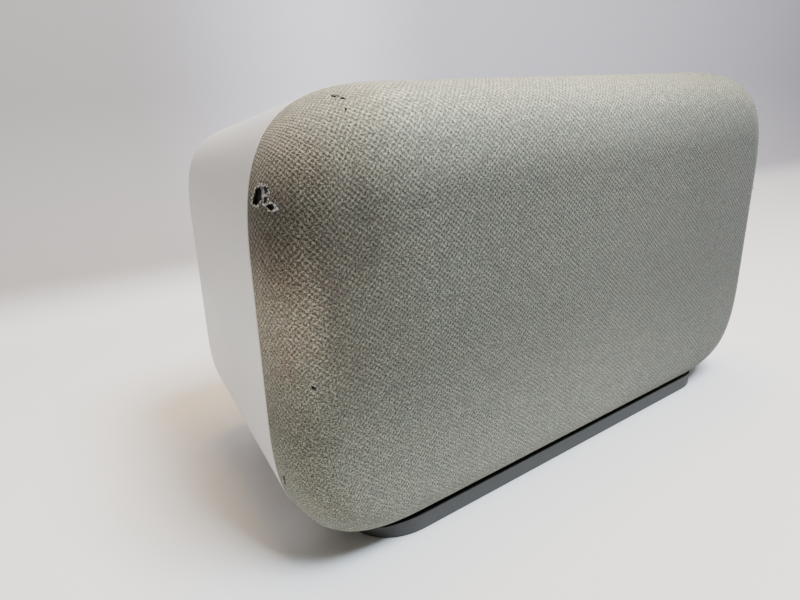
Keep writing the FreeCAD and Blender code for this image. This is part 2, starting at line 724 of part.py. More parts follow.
def mute_switch_base():
    """Open housing behind the panel that the slider runs in."""
    wall = PANEL_FLOOR - PANEL_THICK
    base = box(MUTE_X - 9, MUTE_X + 9, wall - 5, wall, PANEL_Z - 4, PANEL_Z + 4)
    return base.cut(box(MUTE_X - 6.6, MUTE_X + 6.6, wall - 3, wall + 1, PANEL_Z - 3, PANEL_Z + 3))


def mute_slider():
    """Finger slide, shown at its left end of travel, with grip ribs across its top."""
    wall = PANEL_FLOOR - PANEL_THICK
    x = MUTE_X - MUTE_TRAVEL / 2
    foot = box(x - 4.8, x + 4.8, wall - 2.7, wall - 0.2, PANEL_Z - 2.8, PANEL_Z + 2.8)
    knob = pill(6.6, 4.0, wall - 1, PANEL_FLOOR + 2.6, x, PANEL_Z)
    slide = foot.fuse(knob)
    for step in (-1, 0, 1):
        groove_x = x + step * 1.4
        slide = slide.cut(box(groove_x - 0.3, groove_x + 0.3, PANEL_FLOOR + 2.1,
                              PANEL_FLOOR + 3, PANEL_Z - 3, PANEL_Z + 3))
    return slide.removeSplitter()


# Base

def underside(y):
    """Height of the shell's flat underside above the floor."""
    return FOOT + SLOPE_TOP * (y - SEAM)


def pad_plan(inset, low, high):
    mid_y = (PAD_FRONT + PAD_BACK) / 2
    half_y = (PAD_BACK - PAD_FRONT) / 2 - inset
    half_x = PAD_HALF - inset
    corner = PAD_CORNER - inset
    wire = rounded_outline(0, 0, 0, half_x, half_y, corner, 0.62)
    prism = Part.Face(wire).extrude(V(0, high - low, 0))
    prism.rotate(V(0, 0, 0), X_AXIS, 90)
    prism.translate(V(0, mid_y, low))
    return prism


def below_underside(gap):
    """Everything under the body's lower side, which is level in front and slopes up behind."""
    seam_top = FOOT - gap
    back = BACK + 20
    points = [V(-WIDTH, -WIDTH, -1), V(-WIDTH, -WIDTH, seam_top), V(-WIDTH, SEAM, seam_top),
              V(-WIDTH, back, underside(back) - gap), V(-WIDTH, back, -1), V(-WIDTH, -WIDTH, -1)]
    return Part.Face(Part.makePolygon(points)).extrude(V(2 * WIDTH, 0, 0))


def base_pad():
    """Rubber cradle whose top follows the body, with a pocket for its steel plate and three below."""
    lip = pad_plan(0, 0, PAD_LIP).cut(front_form(-PAD_LIP_GAP)).cut(rear_form(-PAD_GAP, SEAM - 1))
    pad = pad_plan(0, 0, 40).common(below_underside(PAD_GAP)).cut(front_form(-PAD_LIP_GAP))
    pad = pad.fuse(lip).cut(plate_pocket(0.1)).removeSplitter()
    for x in (-78, 0, 78):
        pad = pad.cut(box(x - 32, x + 32, -6, 36, -1, 4))
    return pad


def plate_pocket(clear):
    """Flat slab let into the pad's sloping top."""
    slab = below_underside(PAD_GAP).cut(below_underside(PAD_GAP + PLATE_THICK + clear))
    area = box(-96 - clear, 96 + clear, -30 - clear, 38 + clear, -1, 60)
    return slab.common(area)


def base_pad_plate():
    return plate_pocket(0)


def base_magnets():
    """Four disc magnets on the shell's floor, above the pad's plate."""
    tilt = math.degrees(math.atan(SLOPE_TOP))
    magnets = []
    for x in (-84, 84):
        for y in (-10, 26):
            disc = Part.makeCylinder(9.0, 4.0, V(x, y, 0), Z_AXIS)
            disc.rotate(V(x, y, 0), X_AXIS, tilt)
            disc.translate(V(0, 0, underside(y) + WALL + 0.35))
            magnets.append(disc)
    return group(magnets)


# Leads

def bent_path(points, radius):
    """Straight runs joined by tangent arcs of one radius."""
    edges = []
    here = points[0]
    for before, corner, after in zip(points, points[1:], points[2:]):
        into = (corner - before).normalize()
        out = (after - corner).normalize()
        turn = into.getAngle(out)
        reach = radius * math.tan(turn / 2)
        start = corner - into * reach
        end = corner + out * reach
        bisector = (out - into).normalize()
        centre = corner + bisector * (radius / math.cos(turn / 2))
        middle = centre - bisector * radius
        edges.append(Part.LineSegment(here, start).toShape())
        edges.append(Part.Arc(start, middle, end).toShape())
        here = end
    edges.append(Part.LineSegment(here, points[-1]).toShape())
    return Part.Wire(edges)


def speaker_leads():
    """Sheathed lead from each driver to the chassis."""
    leads = []
    base = BAFFLE_FRONT
    for sx, gate in zip((-1, 1), LEAD_GATES):
        woofer = [V(sx * 58, base + 42, MIDDLE + 40.5), V(sx * 58, base + 50, MIDDLE + 46),
                  V(gate, base + 62, MIDDLE + 46), V(gate, CHASSIS_FRONT - 0.4, MIDDLE + 34)]
        tweeter = [V(sx * TWEETER_X, base + 17.2, MIDDLE + 5), V(sx * TWEETER_X, base + 32, MIDDLE + 5),
                   V(sx * 110, base + 62, MIDDLE + 60), V(sx * 40, base + 68, MIDDLE + 56)]
        for points in (woofer, tweeter):
            path = bent_path(points, 4.0)
            start = points[0]
            direction = (points[1] - points[0]).normalize()
            circle = Part.Wire(Part.makeCircle(1.1, start, direction))
            leads.append(path.makePipeShell([circle], True, True))
    return group(leads)


def ribbon_cable():
    """Flat cable from the main board forward to the chassis edge and up to the touch film."""
    half = 6.0
    x = 96.0
    z = MIDDLE + 66
    path = bent_path([V(x, BOARD_FRONT + 0.6, MIDDLE + 55.2), V(x, BOARD_FRONT + 0.6, z),
                      V(x, BAFFLE_BACK + 14, z)], 3.0)
    start = path.Edges[0].Vertexes[0].Point
    corners = [V(x - half, start.y - 0.15, start.z), V(x + half, start.y - 0.15, start.z),
               V(x + half, start.y + 0.15, start.z), V(x - half, start.y + 0.15, start.z)]
    profile = Part.makePolygon(corners + [corners[0]])
    return path.makePipeShell([profile], True, False)


def all_nodes():
    nodes = {}
    for maker in (grille_fabric, grille_frame, grille_grommets, cabinet_shell, touch_strip,
                  touch_sensor_flex, front_baffle, baffle_gasket, baffle_screws, woofer_screws,
                  tweeter_screws, light_board, microphone_boards, chassis_bracket, chassis_screws,
                  power_supply_board, power_supply_parts, amplifier_board, amplifier_heat_sink,
                  main_board, main_board_shield, board_screws, io_panel, power_inlet,
                  power_inlet_pins, usb_c_port, aux_jack, mute_switch_base, mute_slider,
                  base_pad, base_pad_plate, base_magnets, speaker_leads, ribbon_cable):
        nodes[maker.__name__] = maker()
    for side, sign in (("left", -1), ("right", 1)):
        for maker in (woofer_basket, woofer_cone, woofer_dust_cap, woofer_surround, woofer_gasket,
                      woofer_spider, woofer_voice_coil, woofer_top_plate, woofer_magnet,
                      woofer_yoke):
            name = maker.__name__.replace("woofer_", "woofer_" + side + "_")
            nodes[name] = maker(sign * WOOFER_X)
        for maker in (tweeter_faceplate, tweeter_motor, tweeter_dome):
            name = maker.__name__.replace("tweeter_", "tweeter_" + side + "_")
            nodes[name] = maker(sign * TWEETER_X)
    return nodes


def main():
    os.makedirs("parts", exist_ok=True)
    for name, shape in all_nodes().items():
        shape.exportStep("parts/" + name + ".step")
        print(name, len(shape.Solids), round(shape.Volume), shape.isValid())


main()
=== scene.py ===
"""Looks of a wide smart speaker: woven grille cloth stretched over a rounded front, a tapered
white shell behind it, a rear port panel, a rubber base pad and the drivers inside.

Lengths are in millimetres in the functions below and are turned into metres when a mesh is made.
X runs across the speaker, Y from its front to its back and Z up from the floor.
"""

import math

import bmesh
import bpy
import numpy as np
from mathutils import Matrix, Vector


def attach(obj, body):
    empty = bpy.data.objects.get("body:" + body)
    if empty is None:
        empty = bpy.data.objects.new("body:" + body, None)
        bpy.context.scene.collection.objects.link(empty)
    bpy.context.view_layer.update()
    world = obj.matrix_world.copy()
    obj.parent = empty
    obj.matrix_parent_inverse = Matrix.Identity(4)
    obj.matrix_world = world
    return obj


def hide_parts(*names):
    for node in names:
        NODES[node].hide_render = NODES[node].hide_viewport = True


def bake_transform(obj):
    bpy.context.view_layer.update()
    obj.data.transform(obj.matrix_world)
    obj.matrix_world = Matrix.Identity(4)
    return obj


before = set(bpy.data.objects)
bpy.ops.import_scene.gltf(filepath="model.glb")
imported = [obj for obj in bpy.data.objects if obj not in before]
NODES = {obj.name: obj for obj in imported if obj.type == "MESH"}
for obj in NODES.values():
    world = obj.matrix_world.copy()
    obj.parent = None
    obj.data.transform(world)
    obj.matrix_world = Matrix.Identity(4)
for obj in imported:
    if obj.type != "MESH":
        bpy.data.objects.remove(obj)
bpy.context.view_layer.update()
MM = 0.001

# Outer form
WIDTH, HEIGHT, DEPTH = 336.6, 190.0, 154.4
FOOT = 3.5
CORNER, HANDLE = 61.0, 0.766
FRONT_DOME = 1.75
ROLL_DEPTH, ROLL_SIDE, ROLL_TOP, ROLL_POWER = 26.2, 18.5, 21.5, 2.33
SLOPE_SIDE, SLOPE_TOP = 0.1734, 0.1660
BACK_ROUND, WALL, CLOTH, SEAM_GAP = 15.0, 4.5, 0.45, 0.3
FRONT = -DEPTH / 2 + FRONT_DOME
SEAM = FRONT + 29.6
BACK = DEPTH / 2
MIDDLE = FOOT + HEIGHT / 2

# Drivers and rear opening
BAFFLE_FRONT = -46.0
WOOFER_X = 63.5
SURROUND_FLEX = (42.6, 51.2)
SPIDER_FLEX = (20.4, 31.4)
PANEL_Z, PANEL_LENGTH, PANEL_HEIGHT = MIDDLE - 32.0, 130.0, 26.0
ROUND_HANDLE = 0.5523  # share of the radius that makes the outline's corner a circle
STRIP_Y, STRIP_LENGTH, STRIP_WIDTH = SEAM + 20.0, 92.4, 5.4

# Weave: two families of pits, as cycles for each millimetre across and up the flat cloth
PITS_ONE = (0.335, 0.420)
PITS_TWO = (0.450, -0.415)
# How the yarns waver, as feature size and reach in mm: a slow drift, then uneven yarn
DRIFT_SIZE, DRIFT_REACH = 38.0, 2.4
SLUB_SIZE, SLUB_REACH = 1.3, 1.0

rng = np.random.default_rng(7)


# ---------------------------------------------------------------- meshes

def new_piece(name, points, faces, uv=None):
    """Object from points in millimetres and faces of point numbers; uv is one pair per point."""
    mesh = bpy.data.meshes.new(name)
    mesh.from_pydata((np.asarray(points) * MM).tolist(), [], faces)
    if uv is not None:
        corner_points = np.zeros(len(mesh.loops), np.int32)
        mesh.loops.foreach_get("vertex_index", corner_points)
        layer = mesh.uv_layers.new(name="flat")
        layer.data.foreach_set("uv", (np.asarray(uv)[corner_points] * MM).astype(np.float32).ravel())
    mesh.validate()
    piece = bpy.data.objects.new(name, mesh)
    bpy.context.scene.collection.objects.link(piece)
    return piece


def grid_faces(rows, columns, close_rows=False):
    """Quads of a rows x columns grid whose columns join up.

    The corners are (i, j), (i, j+1), (i+1, j+1) and (i+1, j).
    """
    last = rows if close_rows else rows - 1
    i, j = np.meshgrid(np.arange(last), np.arange(columns), indexing="ij")
    below, beside = (i + 1) % rows, (j + 1) % columns
    quads = np.stack([i * columns + j, i * columns + beside, below * columns + beside,
                      below * columns + j], axis=-1).reshape(-1, 4)
    return quads.tolist()


def prism_faces(count):
    """Two ends and the sides of a prism: count points for one end, then count for the other."""
    ends = [list(range(count))[::-1], list(range(count, 2 * count))]
    return ends + [[k, (k + 1) % count, count + (k + 1) % count, count + k] for k in range(count)]


def mend(piece, distance=0.002):
    """Joins points nearer than distance (mm) and turns every face outwards."""
    shape = bmesh.new()
    shape.from_mesh(piece.data)
    bmesh.ops.remove_doubles(shape, verts=shape.verts, dist=distance * MM)
    bmesh.ops.dissolve_degenerate(shape, edges=shape.edges, dist=distance * MM * 0.1)
    bmesh.ops.recalc_face_normals(shape, faces=shape.faces)
    shape.to_mesh(piece.data)
    shape.free()


def smooth(piece, angle):
    """Smooth shading, kept sharp where faces meet at more than angle degrees."""
    piece.data.shade_smooth()
    piece.data.set_sharp_from_angle(angle=math.radians(angle))


def outline(half_w, half_h, corner, handle=HANDLE, corner_points=56, top_points=36, side_points=18):
    """Points (x, z) round a rounded rectangle and their outward normals.

    Each corner is the cubic B(t) = (1-t)^3 P0 + 3(1-t)^2 t P1 + 3(1-t) t^2 P2 + t^3 P3; the
    normal is its derivative turned a quarter. Straight edges are split evenly.
    """
    reach = corner * (1 - handle)
    corners = []
    for sx, sz in ((1, 1), (-1, 1), (-1, -1), (1, -1)):
        poles = np.array([(sx * half_w, sz * (half_h - corner)), (sx * half_w, sz * (half_h - reach)),
                          (sx * (half_w - reach), sz * half_h), (sx * (half_w - corner), sz * half_h)])
        corners.append(poles if sx * sz > 0 else poles[::-1])
    points, normals = [], []
    for k, poles in enumerate(corners):
        t = np.linspace(0, 1, corner_points)[:, None]
        a, b, c, d = poles
        points.append((1 - t) ** 3 * a + 3 * (1 - t) ** 2 * t * b + 3 * (1 - t) * t * t * c + t ** 3 * d)
        along = (1 - t) ** 2 * (b - a) + 2 * (1 - t) * t * (c - b) + t * t * (d - c)
        normals.append(np.column_stack([along[:, 1], -along[:, 0]]))
        start, end = d, corners[(k + 1) % 4][0]
        count = top_points if k % 2 == 0 else side_points
        t = np.linspace(0, 1, count + 2)[1:-1, None]
        points.append(start + (end - start) * t)
        normals.append(np.repeat([[end[1] - start[1], start[0] - end[0]]], count, axis=0))
    points, normals = np.vstack(points), np.vstack(normals)
    lengths = np.linalg.norm(normals, axis=1, keepdims=True)
    return points, normals / np.maximum(lengths, 1e-9)


def body_ring(y, side, top, skin=0.0):
    """One outline of the speaker across its depth, inset by side and top, as (n, 3) points."""
    half_h = HEIGHT / 2 - top - skin
    corner = min(max(CORNER - (side + top) / 2 - skin, 3.0), half_h * 0.96)
    points, normals = outline(WIDTH / 2 - side - skin, half_h, corner)
    return (np.column_stack([points[:, 0], np.full(len(points), y), points[:, 1] + MIDDLE]),
            np.column_stack([normals[:, 0], np.zeros(len(points)), normals[:, 1]]))


# ---------------------------------------------------------------- grille cloth

def front_rows(skin):
    """Rings of the fabric front from the seam to the middle, shrunk by skin, and the roll's last row.

    Edge roll, for an angle a from 0 to 90 degrees: inset = R (1 - cos(a)^(2/p)) and
    depth = D (1 - sin(a)^(2/p)). Dome, for k from 0 to 1: bulge = B (1 - (1 - k)^2).
    """
    rows = []
    for y in np.linspace(SEAM - 0.35, FRONT + ROLL_DEPTH, 5)[:-1]:
        rows.append(body_ring(y, 0, 0, skin)[0])
    for angle in np.radians(90 * np.linspace(0, 1, 44) ** 0.94):
        across = max(math.cos(angle), 0) ** (2 / ROLL_POWER)
        along = math.sin(angle) ** (2 / ROLL_POWER)
        rows.append(body_ring(FRONT + ROLL_DEPTH - (ROLL_DEPTH - skin) * along,
                              (ROLL_SIDE - skin) * (1 - across), (ROLL_TOP - skin) * (1 - across), skin)[0])
    edge = len(rows) - 1
    reach = HEIGHT / 2 - ROLL_TOP
    for k in np.linspace(0, 1, 18)[1:]:
        k = min(k, 0.99)
        inset = reach * k
        y = FRONT + skin - FRONT_DOME * (1 - (1 - k) ** 2)
        rows.append(body_ring(y, ROLL_SIDE - skin + inset, ROLL_TOP - skin + inset, skin)[0])
    centre = rows[-1].copy()
    centre[:, 2] = MIDDLE
    rows.append(centre)
    return np.array(rows), edge


def flat_cloth(rows, edge):
    """Where each point lies on the cloth before it was wrapped: (x, z) on the front, and on the
    roll the edge's own (x, z) plus its outward normal times the distance travelled round the roll."""
    flat = rows[:, :, [0, 2]].copy()
    steps = np.linalg.norm(np.diff(rows[:edge + 1], axis=0), axis=2)
    travelled = np.zeros((edge + 1, rows.shape[1]))
    travelled[:-1] = np.cumsum(steps[::-1], axis=0)[::-1]
    outward = body_ring(FRONT, ROLL_SIDE, ROLL_TOP)[1][:, [0, 2]]
    flat[:edge + 1] = flat[edge][None] + outward[None] * travelled[:, :, None]
    return flat


# The tear's tangent frame and outlines: (forwards, up) from its middle
TEAR_AT = np.array([-166.0, -53.8, 157.7])
TEAR_OUT = np.array([-0.978, -0.074, 0.197])
TEAR_ALONG = np.array([0.075, -0.997, 0.0])
TEAR_UP = np.array([0.196, 0.015, 0.980])
TEARS = [
    [(1.1, 3.1), (1.7, 2.4), (2.3, 1.7), (2.6, 1.1), (3.0, 0.4), (2.7, -0.3), (2.8, -1.1), (1.9, -1.9),
     (1.0, -2.7), (0.4, -3.3), (0.0, -3.9), (-1.3, -3.5), (-2.2, -3.7), (-3.7, -3.3), (-3.1, -2.3),
     (-3.2, -1.4), (-2.7, -0.6), (-2.1, 0.3), (-2.4, 1.2), (-1.4, 1.7), (-0.7, 2.6), (0.2, 2.5)],
    [(2.2, 3.5), (3.4, 3.2), (4.7, 3.3), (5.1, 2.4), (5.9, 1.9), (6.0, 1.2), (5.2, 0.8), (4.3, 0.5),
     (3.9, 1.2), (3.3, 1.9)],
    [(3.6, -0.5), (4.4, -0.2), (5.3, -0.1), (6.0, -0.9), (5.3, -1.9), (4.7, -2.7), (3.7, -2.3)],
    [(5.2, -3.1), (6.1, -2.9), (7.2, -2.2), (8.0, -2.7), (8.9, -2.7), (9.5, -3.2), (10.4, -3.3),
     (9.6, -3.7), (9.2, -4.2), (7.9, -4.0), (6.7, -4.4)],
]
# How far the corners of each of the tear's outlines are moved outwards
TEAR_SWELL = (0.28, 0.55, 0.55, 0.55)
# How the cloth falls away in front of the tear: this times the square of the distance
TEAR_FALL = -0.0134
# Small worn holes: middle, size across, size up, turn in degrees
NICKS = [
    ((-160.5, -72.0, 88.8), 0.9, 0.8, 0),
    ((-136.8, -61.0, 189.1), 1.7, 1.3, 25),
    ((-135.6, -63.8, 187.9), 0.8, 0.9, -30),
    ((-137.6, -68.0, 184.2), 0.5, 0.7, 10),
    ((-86.3, -74.1, 180.5), 0.5, 0.4, 10),
    ((-166.8, -51.5, 41.0), 0.8, 3.0, 12),
    ((141.7, -74.3, 173.4), 0.8, 0.5, 0),
]


def swollen(polygon, by):
    """The polygon with each corner moved away from its middle."""
    polygon = np.asarray(polygon, float)
    away = polygon - polygon.mean(0)
    return polygon + by * away / np.linalg.norm(away, axis=1, keepdims=True)


def tangent_frame(out):
    """Two unit vectors along the surface for an outward direction: level, then the steepest up."""
    along = np.cross(out, (0.0, 0.0, 1.0))
    along /= np.linalg.norm(along)
    return along, np.cross(along, out)


def hole_cutter(name, polygon, middle, out, along, up, reach=3.0):
    """Prism through the cloth whose cross-section is the polygon."""
    polygon = np.asarray(polygon, float)
    ring = middle + polygon[:, :1] * along + polygon[:, 1:] * up
    points = np.vstack([ring - out * reach, ring + out * reach])
    cutter = new_piece(name, points, prism_faces(len(polygon)))
    mend(cutter)
    return cutter


def cut(piece, cutters):
    """Takes the cutters out of the piece and removes them."""
    for cutter in cutters:
        change = piece.modifiers.new("cut", "BOOLEAN")
        change.operation, change.solver, change.object = "DIFFERENCE", "EXACT", cutter
        bpy.context.view_layer.objects.active = piece
        with bpy.context.temp_override(object=piece, active_object=piece):
            bpy.ops.object.modifier_apply(modifier=change.name)
        bpy.data.objects.remove(cutter)


def grille_cloth():
    """Cloth as a closed skin, worn through at one corner, with small nicks."""
    outer, edge = front_rows(0.0)
    inner, _ = front_rows(CLOTH)
    flat = flat_cloth(outer, edge)
    columns = outer.shape[1]
    lip = body_ring(SEAM, 0, 0, 0.25)[0][None]
    lip_in = body_ring(SEAM, 0, 0, CLOTH)[0][None]
    gap = np.linalg.norm(outer - TEAR_AT, axis=2)
    pucker = 0.25 * np.exp(-(gap / 6.0) ** 2) * (1 + 0.6 * np.sin(outer[:, :, 1] * 1.7 + outer[:, :, 2]))
    outer = outer + pucker[:, :, None] * TEAR_OUT
    rows = np.vstack([inner[::-1], lip_in, lip, outer])
    seam_flat = flat[:1]
    uv = np.vstack([flat[::-1], seam_flat, seam_flat, flat])
    cloth = new_piece("grille_cloth", rows.reshape(-1, 3), grid_faces(len(rows), columns),
                      uv.reshape(-1, 2))
    mend(cloth)
    cutters = [hole_cutter("tear", swollen(shape, by), TEAR_AT, TEAR_OUT, TEAR_ALONG, TEAR_UP)
               for shape, by in zip(TEARS, TEAR_SWELL)]
    surface = outer.reshape(-1, 3)
    for middle, across, tall, turn in NICKS:
        out = outward_at(surface, np.array(middle), outer)
        along, up = tangent_frame(out)
        turn = math.radians(turn)
        angle = np.linspace(0, 2 * np.pi, 9)[:-1]
        size = 1 + 0.25 * rng.uniform(-1, 1, 8)
        x, z = across * size * np.cos(angle), tall * size * np.sin(angle)
        polygon = np.column_stack([x * math.cos(turn) - z * math.sin(turn),
                                   x * math.sin(turn) + z * math.cos(turn)])
        cutters.append(hole_cutter("nick", polygon, np.array(middle), out, along, up, 1.6))
    cut(cloth, cutters)
    smooth(cloth, 50)
    return cloth, outer


def outward_at(surface, place, rows):
    """Outward normal of the front at the grid point nearest to place."""
    i, j = np.unravel_index(np.argmin(np.linalg.norm(surface - place, axis=1)), rows.shape[:2])
    i = min(max(i, 1), rows.shape[0] - 2)
    down = rows[i + 1, j] - rows[i - 1, j]
    across = rows[i, (j + 1) % rows.shape[1]] - rows[i, j - 1]
    out = np.cross(across, down)
    out /= np.linalg.norm(out)
    towards = place - np.array([0, 40.0, MIDDLE])
    return out if out @ towards > 0 else -out


def tube(path, radius, sides=6):
    """Points and faces of a closed round thread along a path; it narrows at both ends."""
    path = np.asarray(path, float)
    count = len(path)
    along = np.gradient(path, axis=0)
    along /= np.maximum(np.linalg.norm(along, axis=1, keepdims=True), 1e-9)
    side = np.cross(along, (0.31, 0.17, 0.93))  # any direction that no thread follows
    side /= np.maximum(np.linalg.norm(side, axis=1, keepdims=True), 1e-9)
    other = np.cross(along, side)
    angle = np.linspace(0, 2 * np.pi, sides, endpoint=False)
    size = radius * np.where((np.arange(count) == 0) | (np.arange(count) == count - 1), 0.45, 1.0)
    ring = side[:, None] * np.cos(angle)[None, :, None] + other[:, None] * np.sin(angle)[None, :, None]
    points = (path[:, None] + ring * size[:, None, None]).reshape(-1, 3)
    faces = grid_faces(count, sides)
    faces += [list(range(sides)), list(range((count - 1) * sides, count * sides))[::-1]]
    return points, faces


def joined_tubes(name, tubes):
    """One piece from several tubes."""
    points, faces, start = [], [], 0
    for tube_points, tube_faces in tubes:
        points.append(tube_points)
        faces += [[k + start for k in face] for face in tube_faces]
        start += len(tube_points)
    piece = new_piece(name, np.vstack(points), faces)
    mend(piece, 0.0001)
    smooth(piece, 80)
    return piece


def strand(start, end, bow, waver, steps=9):
    """Path from start to end that bows by the vector bow and wavers at random."""
    t = np.linspace(0, 1, steps)[:, None]
    path = start + (end - start) * t + bow * (4 * t * (1 - t))
    return path + rng.normal(0, waver, path.shape) * np.sin(np.pi * t)


def in_tear(a, b, lift=0.0):
    """Point of the tear's tangent frame; the cloth falls away from it in front."""
    fall = TEAR_FALL * max(a, 0.0) ** 2
    return TEAR_AT + TEAR_ALONG * a + TEAR_UP * b + TEAR_OUT * (fall + lift)


def tear_threads():
    """Bundles left across the tear and loose ends round its holes."""
    thick, fine = [], []
    bundles = [((2.3, 3.7), (3.2, -2.9), 3), ((3.2, 0.2), (6.0, 0.3), 2),
               ((4.7, -3.1), (5.9, -1.5), 2), ((3.0, -2.6), (4.7, -3.4), 2)]
    for (a0, b0), (a1, b1), count in bundles:
        side = np.array([b1 - b0, a0 - a1])
        side = side / np.linalg.norm(side)
        for k in range(count):
            off = side * ((k - (count - 1) / 2) * 0.24 + rng.normal(0, 0.05))
            lift = rng.uniform(-0.25, 0.1)
            bow = TEAR_OUT * rng.uniform(-0.1, 0.3) + TEAR_ALONG * rng.normal(0, 0.12)
            thick.append(tube(strand(in_tear(a0 + off[0], b0 + off[1], lift),
                                     in_tear(a1 + off[0], b1 + off[1], lift), bow, 0.06),
                              rng.uniform(0.09, 0.15)))
    for shape in TEARS:
        shape = np.array(shape)
        middle = shape.mean(0)
        for k in range(len(shape)):
            for _ in range(4):
                at = shape[k] + (shape[(k + 1) % len(shape)] - shape[k]) * rng.uniform()
                inwards = (middle - at) / max(np.linalg.norm(middle - at), 1e-6)
                turn = rng.normal(0, 0.7)
                way = np.array([inwards[0] * math.cos(turn) - inwards[1] * math.sin(turn),
                                inwards[0] * math.sin(turn) + inwards[1] * math.cos(turn)])
                end = at + way * rng.uniform(-0.45, 0.2)
                root = at - way * rng.uniform(0.5, 1.1)
                fine.append(tube(strand(in_tear(*root, 0.02), in_tear(*end, rng.uniform(0.0, 0.35)),
                                        TEAR_OUT * rng.uniform(0.1, 0.3), 0.05, 6),
                                 rng.uniform(0.06, 0.13), 5))
    return joined_tubes("torn_threads", thick + fine)


# Where short fibres stand up from the cloth: middle, spread, count, longest
TUFTS = [
    ((-136.3, -61.5, 188.9), 1.6, 22, 1.6),
    ((-86.3, -74.1, 180.5), 0.6, 6, 0.9),
    ((-160.5, -72.0, 88.8), 0.8, 8, 0.7),
    ((-166.8, -51.5, 41.0), 1.6, 12, 1.2),
    ((147.0, -71.0, 171.5), 1.6, 16, 2.2),
    ((155.5, -70.5, 124.0), 1.2, 12, 1.8),
    ((140.0, -66.0, 183.0), 2.0, 14, 2.0),
]


def surface_fibres(rows):
    """Tufts at the worn places."""
    surface = rows.reshape(-1, 3)
    fibres = []
    for middle, spread, count, longest in TUFTS:
        nearest = surface[np.argmin(np.linalg.norm(surface - np.array(middle), axis=1))]
        out = outward_at(surface, nearest, rows)
        along, up = tangent_frame(out)
        for _ in range(count):
            root = (nearest + along * rng.normal(0, spread * 0.5)
                    + up * rng.normal(0, spread * 0.5) - out * 0.15)
            lean = along * rng.normal(0, 0.7) + up * rng.normal(0, 0.7) + out * rng.uniform(0.2, 0.9)
            end = root + lean * rng.uniform(0.3, 1.0) * longest
            fibres.append(tube(strand(root, end, out * rng.uniform(0, 0.3), 0.06, 6),
                               rng.uniform(0.04, 0.08), 5))
    return joined_tubes("worn_fibres", fibres)


# ---------------------------------------------------------------- shell

def shell_rows(skin, back_y, rounding, front_y):
    """Rings of the tapered tub from front to back, ending on the back plane.

    The wall leans in by s for each millimetre. With n the offset along the outline's normal, the
    back edge is an arc of radius R about n = sR - R sqrt(1 + s^2), y = back - R.
    """
    rows = []
    depth = back_y - SEAM
    last, normal = body_ring(back_y, SLOPE_SIDE * depth, SLOPE_TOP * depth, skin)
    lean = SLOPE_SIDE * normal[:, 0] ** 2 + SLOPE_TOP * normal[:, 2] ** 2
    centre = lean * rounding - rounding * np.sqrt(1 + lean ** 2)
    first = np.arctan(lean)
    arc_start = back_y - rounding + rounding * np.sin(first).mean()
    for y in np.linspace(front_y, arc_start, 14)[:-1]:
        rows.append(body_ring(y, SLOPE_SIDE * (y - SEAM), SLOPE_TOP * (y - SEAM), skin)[0])
    for share in np.linspace(0, 1, 20):
        angle = first + (np.pi / 2 - first) * share
        row = last + normal * (centre + rounding * np.cos(angle))[:, None]
        row[:, 1] = back_y - rounding + rounding * np.sin(angle)
        rows.append(row)
    return rows


def pill_ring(grow, y):
    """Outline of the rear opening with the same number of points as the body's."""
    half_h = PANEL_HEIGHT / 2 + grow
    points, _ = outline(PANEL_LENGTH / 2 + grow, half_h, half_h - 0.01, ROUND_HANDLE)
    return np.column_stack([points[:, 0], np.full(len(points), y), points[:, 1] + PANEL_Z])


def shell_piece():
    """Closed tub: outer wall, back with its opening, inner wall and front lip."""
    outer = shell_rows(0.0, BACK, BACK_ROUND, SEAM + SEAM_GAP + 0.7)
    inner = shell_rows(WALL, BACK - WALL, BACK_ROUND - WALL, SEAM + SEAM_GAP + 0.7)
    lip = [body_ring(SEAM + SEAM_GAP + y, 0, 0, skin)[0]
           for y, skin in ((0.0, WALL), (0.0, 0.45), (0.1, 0.16), (0.3, 0.03))]
    edge = pill_ring(0.5, BACK)
    back = [outer[-1] + (edge - outer[-1]) * share for share in (0.02, 0.3, 0.65)]
    turn_in = [edge, pill_ring(0.15, BACK - 0.15), pill_ring(0.0, BACK - 0.5), pill_ring(0.0, BACK - WALL)]
    inner_back = [inner[-1] + (turn_in[-1] - inner[-1]) * share for share in (0.65, 0.3)]
    rows = np.array(lip + outer + back + turn_in + inner_back + inner[::-1])
    shell = new_piece("shell", rows.reshape(-1, 3), grid_faces(len(rows), rows.shape[1], close_rows=True))
    mend(shell)
    groove = top_groove()
    cut(shell, [groove])
    smooth(shell, 40)
    return shell


def top_groove():
    """Prism with rounded ends that follows the top's slope, 1.3 mm deep."""
    half, radius = STRIP_LENGTH / 2 - STRIP_WIDTH / 2, STRIP_WIDTH / 2
    angle = np.linspace(-np.pi / 2, np.pi / 2, 17)
    right = np.column_stack([half + radius * np.cos(angle), radius * np.sin(angle)])
    plan = np.vstack([right, -right])
    deep, clear = 1.3, 5
    top = FOOT + HEIGHT - SLOPE_TOP * (STRIP_Y + plan[:, 1] - SEAM)
    points = np.vstack([np.column_stack([plan[:, 0], STRIP_Y + plan[:, 1], top - deep]),
                        np.column_stack([plan[:, 0], STRIP_Y + plan[:, 1], top + clear])])
    groove = new_piece("groove", points, prism_faces(len(plan)))
    mend(groove)
    return groove


def seam_welt():
    """Thin pale lip that closes the gap between the cloth and the shell."""
    section = [(SEAM - 0.02, 0.16), (SEAM + 0.08, 0.04), (SEAM + 0.22, 0.04), (SEAM + SEAM_GAP + 0.02, 0.16),
               (SEAM + SEAM_GAP + 0.02, 0.8), (SEAM - 0.02, 0.8)]
    rows = np.array([body_ring(y, 0, 0, skin)[0] for y, skin in section])
    welt = new_piece("seam_welt", rows.reshape(-1, 3), grid_faces(len(rows), rows.shape[1], close_rows=True))
    mend(welt)
    smooth(welt, 50)
    return welt


# ---------------------------------------------------------------- drivers

